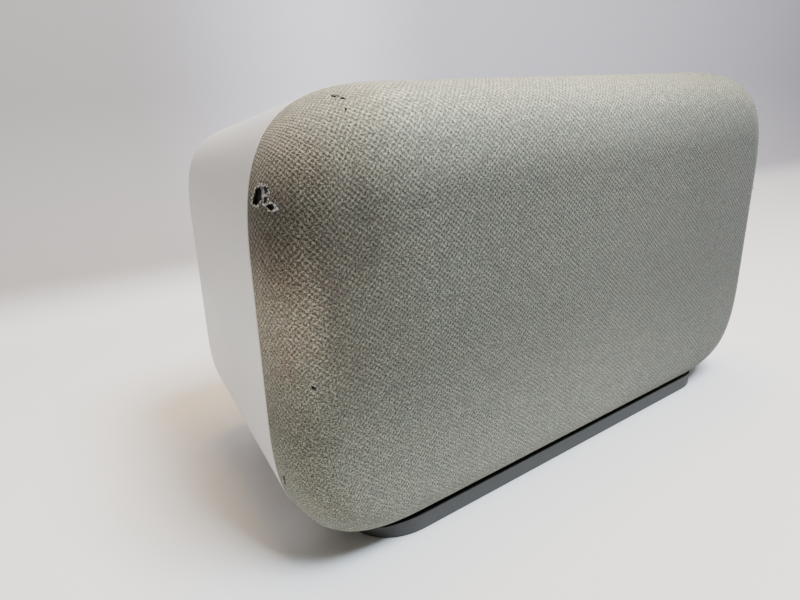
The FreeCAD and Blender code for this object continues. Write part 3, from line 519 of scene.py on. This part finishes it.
def turned(name, profile, x, segments=120):
    """Closed ring turned about the driver's axis: (r, s) goes to (x + r cos a, base + s, z + r sin a)."""
    profile = np.asarray(profile, float)
    angle = np.linspace(0, 2 * np.pi, segments, endpoint=False)
    r, s = profile[:, :1], profile[:, 1:]
    points = np.stack([x + r * np.cos(angle), BAFFLE_FRONT + s + 0 * angle,
                       MIDDLE + r * np.sin(angle)], axis=-1)
    piece = new_piece(name, points.reshape(-1, 3), grid_faces(len(profile), segments, close_rows=True))
    mend(piece)
    smooth(piece, 50)
    return piece


def surround(name, x):
    """Rubber half roll with a flat land on each side."""
    centre, roll, thick, level = 46.8, 4.2, 0.8, 1.2
    over = np.radians(np.linspace(180, 0, 29))
    meet = math.acos(math.sqrt(roll ** 2 - thick ** 2) / roll)
    upper = [(centre + roll * math.cos(a), level - roll * math.sin(a))
             for a in np.linspace(math.pi - meet, meet, 29)]
    lower = [(centre + (roll - thick) * math.cos(a), level - (roll - thick) * math.sin(a)) for a in over[::-1]]
    land_in, land_out = 40.6, 56.4
    profile = ([(land_in, level), (land_in, level - thick)] + upper
               + [(land_out, level - thick), (land_out, level)] + lower)
    return turned(name, profile, x)


def spider(name, x):
    """Corrugated cloth disc: height 0.45 (1 - cos(2 pi n (r - a) / (b - a))) between its lands."""
    inner, outer, start, end, waves = 19.5, 36.5, 20.5, 31.2, 4
    r = np.concatenate([[inner], np.linspace(start, end, 65), [outer]])
    share = np.clip((r - start) / (end - start), 0, 1)
    s = 27.2 - 0.45 * (1 - np.cos(2 * np.pi * waves * share))
    top = np.column_stack([r, s])
    return turned(name, np.vstack([top, top[::-1] + (0, 0.5)]), x)


def flexing(piece, body, x, inner, outer):
    """Bakes the piece's placement into its mesh and reads its points back in millimetres."""
    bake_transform(piece)
    co = np.zeros(len(piece.data.vertices) * 3)
    piece.data.vertices.foreach_get("co", co)
    co = co.reshape(-1, 3) / MM


# ---------------------------------------------------------------- copies of CAD surfaces

def smooth_copy(node, name, angle=30.0):
    """The CAD node's own surface with its seams joined and its curved faces smooth-shaded."""
    source = NODES[node].data
    co = np.zeros(len(source.vertices) * 3)
    source.vertices.foreach_get("co", co)
    faces = [list(face.vertices) for face in source.polygons]
    piece = new_piece(name, co.reshape(-1, 3) / MM, faces)
    mend(piece, 0.001)
    smooth(piece, angle)
    weighted = piece.modifiers.new("normals", "WEIGHTED_NORMAL")
    weighted.keep_sharp = True
    return piece


# ---------------------------------------------------------------- materials

class Finish:
    """A node material; a value given to a socket may be a number, a tuple or another node's output."""

    def __init__(self, name, roughness, metallic=0.0):
        self.material = bpy.data.materials.new(name)
        self.material.use_nodes = True
        self.tree = self.material.node_tree
        self.shader = self.tree.nodes["Principled BSDF"]
        self.set("Roughness", roughness)
        self.set("Metallic", metallic)

    def put(self, socket, value):
        if isinstance(value, bpy.types.NodeSocket):
            self.tree.links.new(value, socket)
        else:
            socket.default_value = value

    def set(self, socket, value):
        self.put(self.shader.inputs[socket], value)

    def node(self, kind, values=(), **settings):
        made = self.tree.nodes.new("ShaderNode" + kind)
        for key, value in settings.items():
            setattr(made, key, value)
        for socket, value in dict(values).items():
            self.put(made.inputs[socket], value)
        return made

    def math(self, operation, *values):
        made = self.tree.nodes.new("ShaderNodeMath")
        made.operation = operation
        for socket, value in zip(made.inputs, values):
            self.put(socket, value)
        return made.outputs[0]

    def sum_of(self, first, *others):
        for other in others:
            first = self.math("ADD", first, other)
        return first

    def times(self, first, *others):
        for other in others:
            first = self.math("MULTIPLY", first, other)
        return first

    def step(self, value, low, high, at_low=0.0, at_high=1.0):
        made = self.node("MapRange", {"Value": value, "From Min": low, "From Max": high,
                                      "To Min": at_low, "To Max": at_high},
                         interpolation_type="SMOOTHSTEP")
        return made.outputs["Result"]

    def place(self):
        """Object coordinates in millimetres."""
        return self.scaled(self.node("TexCoord").outputs["Object"], 1 / MM)

    def scaled(self, vector, factor):
        made = self.node("VectorMath", {0: vector, "Scale": factor}, operation="SCALE")
        return made.outputs["Vector"]

    def noise(self, where, size, detail=2.0, roughness=0.5):
        """Noise from 0 to 1 whose features are about size of the coordinate's units."""
        made = self.node("TexNoise", {"Vector": where, "Scale": 1.0 / size, "Detail": detail,
                                      "Roughness": roughness})
        return made.outputs["Fac"]

    def mix(self, factor, first, second, kind="MIX"):
        made = self.tree.nodes.new("ShaderNodeMix")
        made.data_type, made.blend_type = "RGBA", kind
        for index, value in ((0, factor), (6, first), (7, second)):
            if isinstance(value, tuple) and len(value) == 3:
                value = (*value, 1.0)
            self.put(made.inputs[index], value)
        return made.outputs[2]

    def grey(self, value):
        made = self.node("CombineColor", {"Red": value, "Green": value, "Blue": value})
        return made.outputs["Color"]

    def bump(self, height, distance, strength=1.0):
        made = self.node("Bump", {"Height": height, "Distance": distance * MM, "Strength": strength})
        self.set("Normal", made.outputs["Normal"])


def plain(name, colour, roughness, metallic=0.0, vary=0.06, grain=4.0, bump=0.0):
    """Finish with a slight mottle of its colour and roughness, and a fine surface grain."""
    made = Finish(name, roughness, metallic)
    where = made.place()
    mottle = made.noise(where, grain)
    shade = made.step(mottle, 0.3, 0.7, 1 - vary, 1 + vary)
    made.set("Base Color", made.mix(1.0, colour, made.grey(shade), "MULTIPLY"))
    made.set("Roughness", made.step(mottle, 0.3, 0.7, max(roughness - vary, 0.05),
                                    min(roughness + vary, 1.0)))
    made.material.diffuse_color = (*colour, 1.0)
    if bump:
        made.bump(made.noise(where, 0.35, 3.0), bump)
    return made.material


def brushed(name, colour, roughness, axis=0):
    """Metal with fine streaks along one axis."""
    made = Finish(name, roughness, 1.0)
    where = made.place()
    stretch = [3.0, 3.0, 3.0]
    stretch[axis] = 0.08
    streaks = made.node("VectorMath", {0: where, 1: tuple(stretch)}, operation="MULTIPLY").outputs["Vector"]
    line = made.noise(streaks, 1.0, 3.0)
    shade = made.step(line, 0.25, 0.75, 0.86, 1.1)
    made.set("Base Color", made.mix(1.0, colour, made.grey(shade), "MULTIPLY"))
    made.set("Roughness", made.step(line, 0.25, 0.75, roughness - 0.08, roughness + 0.1))
    made.material.diffuse_color = (*colour, 1.0)
    return made.material


def board_finish(name):
    """Green solder mask with tracks: cells of a stretched Voronoi pattern, lighter at their borders."""
    made = Finish(name, 0.38)
    where = made.place()
    cells = made.node("TexVoronoi", {"Vector": where, "Scale": 0.28}, feature="DISTANCE_TO_EDGE",
                      distance="MANHATTAN")
    track = made.step(cells.outputs["Distance"], 0.05, 0.09, 1.0, 0.0)
    made.set("Base Color", made.mix(track, (0.012, 0.085, 0.035), (0.03, 0.16, 0.07)))
    made.bump(track, 0.04)
    made.material.diffuse_color = (0.012, 0.085, 0.035, 1.0)
    return made.material


def cloth_finish(name):
    """Two-tone woven cloth on the flat map, in millimetres.

    With u, v the wavered coordinates, a = 0.335 u + 0.420 v and b = 0.450 u - 0.415 v, the weave
    is w = (cos 2 pi a + cos 2 pi b) / 2: dark pits where w is near 1, pale crossings near -1.
    The weave (coarse) fades lower down by clear, and fine fibre is added to it. The base colour
    is a mottle with a brown stain on the left that is partly painted shade, times tone: ramps
    across and up the cloth that are painted light and shade.
    """
    made = Finish(name, 0.9)
    made.set("Sheen Weight", 0.16)
    made.set("Sheen Roughness", 0.5)
    made.set("Specular IOR Level", 0.15)
    made.material.diffuse_color = (0.3, 0.3, 0.28, 1.0)
    flat = made.node("UVMap", uv_map="flat").outputs["UV"]
    flat = made.scaled(flat, 1 / MM)

    def waver(size, reach, detail):
        shift = made.node("TexNoise", {"Vector": flat, "Scale": 1 / size, "Detail": detail}).outputs["Color"]
        shift = made.node("VectorMath", {0: shift, 1: (0.5, 0.5, 0.5)}, operation="SUBTRACT")
        return made.scaled(shift.outputs["Vector"], reach)

    moved = flat
    for offset in (waver(DRIFT_SIZE, DRIFT_REACH, 1.0), waver(SLUB_SIZE, SLUB_REACH, 2.0)):
        moved = made.node("VectorMath", {0: moved, 1: offset}, operation="ADD").outputs["Vector"]
    parts = made.node("SeparateXYZ", {"Vector": moved})
    u, v = parts.outputs["X"], parts.outputs["Y"]
    phases = [made.sum_of(made.times(u, one), made.times(v, two)) for one, two in (PITS_ONE, PITS_TWO)]
    waves = [made.math("COSINE", made.times(phase, 2 * math.pi)) for phase in phases]
    weave = made.times(made.sum_of(*waves), 0.5)
    troughs = [made.times(wave, -1.0) for wave in waves]
    net = made.step(made.math("MAXIMUM", *troughs), -0.1, 0.95)

    def cell_random(offset):
        cells = [made.math("FLOOR", made.sum_of(phase, offset)) for phase in phases]
        where = made.node("CombineXYZ", {"X": cells[0], "Y": cells[1]}).outputs["Vector"]
        return made.node("TexWhiteNoise", {"Vector": where}, noise_dimensions="2D").outputs["Value"]

    fibre = made.sum_of(made.times(made.noise(flat, 0.72, 2.0, 0.6), 0.5),
                        made.times(made.noise(flat, 0.38, 2.0, 0.7), 0.5))
    where = made.place()
    axes = made.node("SeparateXYZ", {"Vector": where})
    x, z = axes.outputs["X"], axes.outputs["Z"]
    clear = made.step(z, 50.0, 150.0, 0.4, 1.0)
    uneven = cell_random(0.5)
    crossing = made.step(weave, -0.35, -0.9)
    pit = made.step(weave, 0.25, 0.9)
    coarse = made.sum_of(made.times(net, 0.12), made.times(crossing, made.step(uneven, 0.0, 1.0, 0.2, 0.6)),
                         made.times(pit, -0.18), -0.07)
    shade = made.sum_of(made.times(coarse, clear), 0.36, made.times(made.sum_of(fibre, -0.5), 6.0))
    depth = made.math("SUBTRACT", 1.0, made.step(shade, 0.0, 1.0))
    yarn = made.step(cell_random(0.0), 0.0, 1.0, 0.84, 1.14)

    patches = made.noise(where, 22.0, 3.0, 0.6)
    blotch = made.noise(where, 9.0, 3.0, 0.6)
    # Brown stain on the left, stronger higher up; its darkening is partly painted shade
    left = made.step(x, -100.0, -162.0)
    stain_and_shade = made.times(left, made.step(patches, 0.25, 0.65, 0.55, 1.0), made.step(z, 40.0, 130.0, 0.15, 1.0))
    # Painted light: top makes the cloth's top roll paler and warmer
    top = made.step(z, 168.0, 192.0)
    # Painted light: beside and edge make the leftmost strip of the cloth lighter, most around mid height
    beside = made.times(made.step(z, 112.0, 150.0, 3.3, 1.25), made.step(z, 60.0, 115.0, 0.40, 1.0))
    edge = made.step(x, -167.0, -150.0, beside, 1.0)
    # Painted shade: worn darkens the upper left of the cloth by 22 percent
    worn = made.times(made.step(x, -115.0, -140.0), made.step(z, 105.0, 145.0))
    # Painted light and shade: tone makes the cloth darker in the middle and to the right, and lighter towards
    # the top edge
    tone = made.times(made.step(z, 15.0, 95.0, 0.85, 0.51), made.step(z, 150.0, 190.0, 1.0, 3.6),
                      made.step(x, -20.0, 160.0, 1.0, 0.53), edge, made.sum_of(1.0, made.times(worn, -0.22)))
    pale = made.mix(patches, (0.366, 0.378, 0.292), (0.430, 0.434, 0.334))
    pale = made.mix(made.step(blotch, 0.35, 0.7), pale, (0.362, 0.402, 0.312))
    pale = made.mix(made.times(stain_and_shade, 0.85), pale, (0.300, 0.260, 0.184))
    pale = made.mix(made.times(stain_and_shade, made.step(blotch, 0.5, 0.68), 0.7), pale, (0.335, 0.255, 0.215))
    # Painted light on the top roll
    pale = made.mix(made.times(top, 0.6), pale, (0.43, 0.41, 0.30))
    # Painted light and shade: tone multiplies both the pale and the dark yarn colours
    pale = made.mix(1.0, pale, made.grey(made.times(yarn, tone)), "MULTIPLY")
    dark = made.mix(stain_and_shade, (0.062, 0.065, 0.056), (0.052, 0.041, 0.030))
    dark = made.mix(1.0, dark, made.grey(tone), "MULTIPLY")
    made.set("Base Color", made.mix(depth, pale, dark))
    height = made.sum_of(made.times(net, 0.4), made.times(crossing, 0.5), made.times(pit, -0.5),
                         made.times(fibre, 0.4))
    made.bump(height, 0.22)
    return made.material


def thread_finish(name):
    """Bare fibres, off-white with grey lengths."""
    made = Finish(name, 0.8)
    made.set("Sheen Weight", 0.4)
    where = made.place()
    made.set("Base Color", made.mix(made.step(made.noise(where, 1.1, 2.0), 0.4, 0.6),
                                    (0.28, 0.275, 0.25), (0.60, 0.59, 0.56)))
    made.material.diffuse_color = (0.5, 0.5, 0.47, 1.0)
    made.bump(made.noise(where, 0.12, 2.0), 0.04)
    return made.material


def shell_finish(name):
    """White satin plastic with faint handling marks."""
    made = Finish(name, 0.4)
    where = made.place()
    marks = made.noise(where, 30.0, 4.0, 0.6)
    made.set("Base Color", made.mix(marks, (0.645, 0.648, 0.648), (0.685, 0.688, 0.688)))
    made.set("Roughness", made.step(marks, 0.3, 0.7, 0.36, 0.46))
    made.set("Specular IOR Level", 0.4)
    made.bump(made.noise(where, 0.5, 2.0), 0.006)
    made.material.diffuse_color = (0.81, 0.80, 0.79, 1.0)
    return made.material


def spider_finish(name):
    """Resin-stiffened yellow cloth with a fine square weave."""
    made = Finish(name, 0.8)
    where = made.place()
    parts = made.node("SeparateXYZ", {"Vector": where})
    waves = [made.math("SINE", made.times(parts.outputs[axis], 2 * math.pi / 0.9)) for axis in ("X", "Z")]
    weave = made.times(waves[0], waves[1])
    made.set("Base Color", made.mix(made.step(weave, -0.6, 0.6), (0.32, 0.20, 0.06), (0.50, 0.34, 0.12)))
    made.bump(weave, 0.1)
    made.material.diffuse_color = (0.42, 0.28, 0.09, 1.0)
    return made.material


FINISHES = {
    "grille_cloth": cloth_finish("grille_cloth"),
    "shell_white": shell_finish("shell_white"),
    "frame_black": plain("frame_black", (0.008, 0.008, 0.009), 0.6, bump=0.01),
    "rubber_black": plain("rubber_black", (0.014, 0.014, 0.015), 0.55),
    "pad_rubber": plain("pad_rubber", (0.052, 0.054, 0.053), 0.8, bump=0.02),
    "steel_screw": brushed("steel_screw", (0.42, 0.42, 0.43), 0.34),
    "steel_plate": brushed("steel_plate", (0.50, 0.50, 0.51), 0.36),
    "magnet_ferrite": plain("magnet_ferrite", (0.035, 0.034, 0.036), 0.62, bump=0.03),
    "magnet_nickel": plain("magnet_nickel", (0.62, 0.60, 0.55), 0.22, 1.0, vary=0.04),
    "cone_fibre": plain("cone_fibre", (0.024, 0.024, 0.026), 0.62, grain=1.2, bump=0.05),
    "coil_copper": brushed("coil_copper", (0.72, 0.31, 0.13), 0.3, 1),
    "spider_cloth": spider_finish("spider_cloth"),
    "dome_metal": plain("dome_metal", (0.56, 0.57, 0.60), 0.28, 1.0, vary=0.04),
    "board_green": board_finish("board_green"),
    "heat_sink_metal": brushed("heat_sink_metal", (0.60, 0.61, 0.62), 0.38, 2),
    "shield_tin": brushed("shield_tin", (0.66, 0.66, 0.64), 0.3, 0),
    "chassis_metal": brushed("chassis_metal", (0.50, 0.51, 0.52), 0.4, 0),
    "parts_dark": plain("parts_dark", (0.03, 0.03, 0.035), 0.4),
    "port_black": plain("port_black", (0.012, 0.012, 0.013), 0.42),
    "panel_grey": plain("panel_grey", (0.46, 0.46, 0.455), 0.5, vary=0.03, bump=0.008),
    "port_steel": brushed("port_steel", (0.60, 0.59, 0.57), 0.28),
    "slider_grey": plain("slider_grey", (0.30, 0.30, 0.295), 0.45, vary=0.03),
    "strip_gloss": plain("strip_gloss", (0.72, 0.72, 0.70), 0.16, vary=0.02),
    "film_amber": plain("film_amber", (0.42, 0.16, 0.02), 0.25),
    "lead_sheath": plain("lead_sheath", (0.02, 0.02, 0.02), 0.5),
    "gasket_foam": plain("gasket_foam", (0.03, 0.03, 0.032), 0.95, grain=0.6, bump=0.15),
}

SLOTS = {
    "frame_black": ["grille_frame", "front_baffle", "woofer_*_basket", "tweeter_*_faceplate"],
    "rubber_black": ["grille_grommets"],
    "steel_screw": ["baffle_screws", "woofer_screws", "tweeter_screws", "chassis_screws", "board_screws"],
    "steel_plate": ["woofer_*_top_plate", "woofer_*_yoke", "tweeter_*_motor", "base_pad_plate"],
    "magnet_ferrite": ["woofer_*_magnet"],
    "magnet_nickel": ["base_magnets"],
    "cone_fibre": ["woofer_*_cone", "woofer_*_dust_cap"],
    "coil_copper": ["woofer_*_voice_coil"],
    "dome_metal": ["tweeter_*_dome"],
    "board_green": ["light_board", "microphone_boards", "power_supply_board", "amplifier_board",
                    "main_board"],
    "heat_sink_metal": ["amplifier_heat_sink"],
    "shield_tin": ["main_board_shield"],
    "chassis_metal": ["chassis_bracket"],
    "parts_dark": ["power_supply_parts"],
    "port_black": ["mute_switch_base"],
    "port_steel": ["power_inlet_pins"],
    "film_amber": ["touch_sensor_flex", "ribbon_cable"],
    "lead_sheath": ["speaker_leads"],
    "gasket_foam": ["baffle_gasket", "woofer_*_gasket"],
}


def wear(piece, slot):
    """Gives a piece the finish of one of the record's slots."""
    piece.data.materials.clear()
    piece.data.materials.append(FINISHES[slot])


# ---------------------------------------------------------------- build

cloth, cloth_rows = grille_cloth()
wear(cloth, "grille_cloth")
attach(cloth, "cabinet")
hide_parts("grille_fabric")

loose = [tear_threads(), surface_fibres(cloth_rows)]
threads = thread_finish("bare_thread")
for piece in loose:
    piece.data.materials.append(threads)
    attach(piece, "cabinet")

# Flat cut: the front's own size plus the way round the roll and the band on each side
flat_map = flat_cloth(*front_rows(0.0))

shell = shell_piece()
wear(shell, "shell_white")
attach(shell, "cabinet")
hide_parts("cabinet_shell")

welt = seam_welt()
wear(welt, "shell_white")
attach(welt, "cabinet")

for side, sign in (("left", -1), ("right", 1)):
    body = "woofer_" + side + "_diaphragm"
    x = sign * WOOFER_X
    roll = surround("surround_" + side, x)
    wear(roll, "rubber_black")
    flexing(roll, body, x, *SURROUND_FLEX)
    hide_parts("woofer_" + side + "_surround")
    disc = spider("spider_" + side, x)
    wear(disc, "spider_cloth")
    flexing(disc, body, x, *SPIDER_FLEX)
    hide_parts("woofer_" + side + "_spider")

for node, slot, body in (("touch_strip", "strip_gloss", "cabinet"), ("io_panel", "panel_grey", "cabinet"),
                         ("power_inlet", "port_black", "cabinet"), ("usb_c_port", "port_steel", "cabinet"),
                         ("aux_jack", "port_black", "cabinet"), ("mute_slider", "slider_grey", "mute_slider"),
                         ("base_pad", "pad_rubber", "base_pad")):
    piece = smooth_copy(node, node + "_shape")
    wear(piece, slot)
    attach(piece, body)
    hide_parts(node)

for slot, patterns in SLOTS.items():
    for pattern in patterns:
        sides = ("left", "right") if "*" in pattern else ("",)
        for side in sides:
            wear(NODES[pattern.replace("*", side)], slot)


# ---------------------------------------------------------------- stage, light and camera

def backdrop():
    """Floor that sweeps up into a wall: level to y = 270, an arc of radius 190, then upright."""
    profile = [(-2200.0, 0.0), (-400.0, 0.0), (250.0, 0.0)]
    for angle in np.linspace(0, math.pi / 2, 24):
        profile.append((270 + 190 * math.sin(angle), 190 - 190 * math.cos(angle)))
    profile += [(460.0, 1200.0), (460.0, 2600.0)]
    across = np.linspace(-2600, 3200, 13)
    y, z = np.array(profile).T
    points = np.stack(np.broadcast_arrays(across[None, :], y[:, None], z[:, None]), axis=-1)
    turn = math.radians(-4.0)
    bent = points.copy()
    bent[..., 0] = points[..., 0] * math.cos(turn) - points[..., 1] * math.sin(turn)
    bent[..., 1] = points[..., 0] * math.sin(turn) + points[..., 1] * math.cos(turn)
    i, j = np.meshgrid(np.arange(len(profile) - 1), np.arange(len(across) - 1), indexing="ij")
    n = len(across)
    faces = np.stack([i * n + j, i * n + j + 1, (i + 1) * n + j + 1, (i + 1) * n + j], axis=-1)
    faces = faces.reshape(-1, 4)
    lowered = 0.2
    piece = new_piece("backdrop", bent.reshape(-1, 3) - (0, 0, lowered), faces.tolist())
    piece.data.shade_smooth()
    paper = Finish("backdrop_paper", 0.7)
    where = paper.place()
    shade = paper.noise(where, 260.0, 2.0)
    axes = paper.node("SeparateXYZ", {"Vector": where})
    x, height = axes.outputs["X"], axes.outputs["Z"]
    floor_tone = paper.mix(shade, (0.88, 0.88, 0.88), (0.905, 0.905, 0.905))
    # Painted light and shade on the wall: much darker than the floor, darker to the left, with a painted band
    # of light between x 10 and 350 mm
    painted_light_band = paper.times(paper.step(x, 10.0, 170.0), paper.step(x, 350.0, 180.0))
    level = paper.sum_of(paper.step(x, -60.0, 70.0, 0.345, 0.45), paper.times(painted_light_band, 0.19))
    tint = paper.mix(paper.step(x, -60.0, 60.0), (1.02, 0.99, 1.01), (1.0, 0.985, 1.13))
    wall_tone = paper.mix(1.0, tint, paper.grey(level), "MULTIPLY")
    paper.set("Base Color", paper.mix(paper.step(height, 2.0, 34.0), floor_tone, wall_tone))
    piece.data.materials.append(paper.material)


def area_light(name, place, aim, size, power, colour):
    data = bpy.data.lights.new(name, "AREA")
    data.shape, data.size, data.size_y = "RECTANGLE", size[0], size[1]
    data.energy, data.color = power, colour
    lamp = bpy.data.objects.new(name, data)
    way = np.array(aim, float) - np.array(place, float)
    lamp.location = place
    lamp.rotation_euler = Vector(way).to_track_quat("-Z", "Y").to_euler()
    bpy.context.scene.collection.objects.link(lamp)


backdrop()
area_light("key", (0.15, -0.55, 1.3), (0.0, 0.0, 0.05), (0.5, 0.5), 37.0, (0.905, 1.0, 1.112))
area_light("top", (0.1, 0.0, 1.4), (0.0, 0.0, 0.0), (0.6, 0.6), 12.8, (1.42, 0.97, 0.47))
area_light("right", (1.3, -0.3, 0.6), (0.0, 0.0, 0.05), (0.8, 0.8), 0.9, (1.0, 0.98, 0.93))
world = bpy.data.worlds.new("room")
world.use_nodes = True
world.node_tree.nodes["Background"].inputs["Color"].default_value = (1.0, 0.80, 0.58, 1.0)
world.node_tree.nodes["Background"].inputs["Strength"].default_value = 0.09
bpy.context.scene.world = world

camera_data = bpy.data.cameras.new("camera")
camera_data.lens, camera_data.sensor_width = 28.70, 36.0
camera_data.shift_x, camera_data.shift_y = 0.0032, 0.0172
camera_data.clip_start, camera_data.clip_end = 0.01, 20.0
camera = bpy.data.objects.new("camera", camera_data)
camera.matrix_world = Matrix((
    (0.79366, 0.22825, -0.56392, -0.26139),
    (-0.60759, 0.25079, -0.75362, -0.25909),
    (-0.03059, 0.94075, 0.33773, 0.19187),
    (0.0, 0.0, 0.0, 1.0),
))
bpy.context.scene.collection.objects.link(camera)
bpy.context.scene.camera = camera
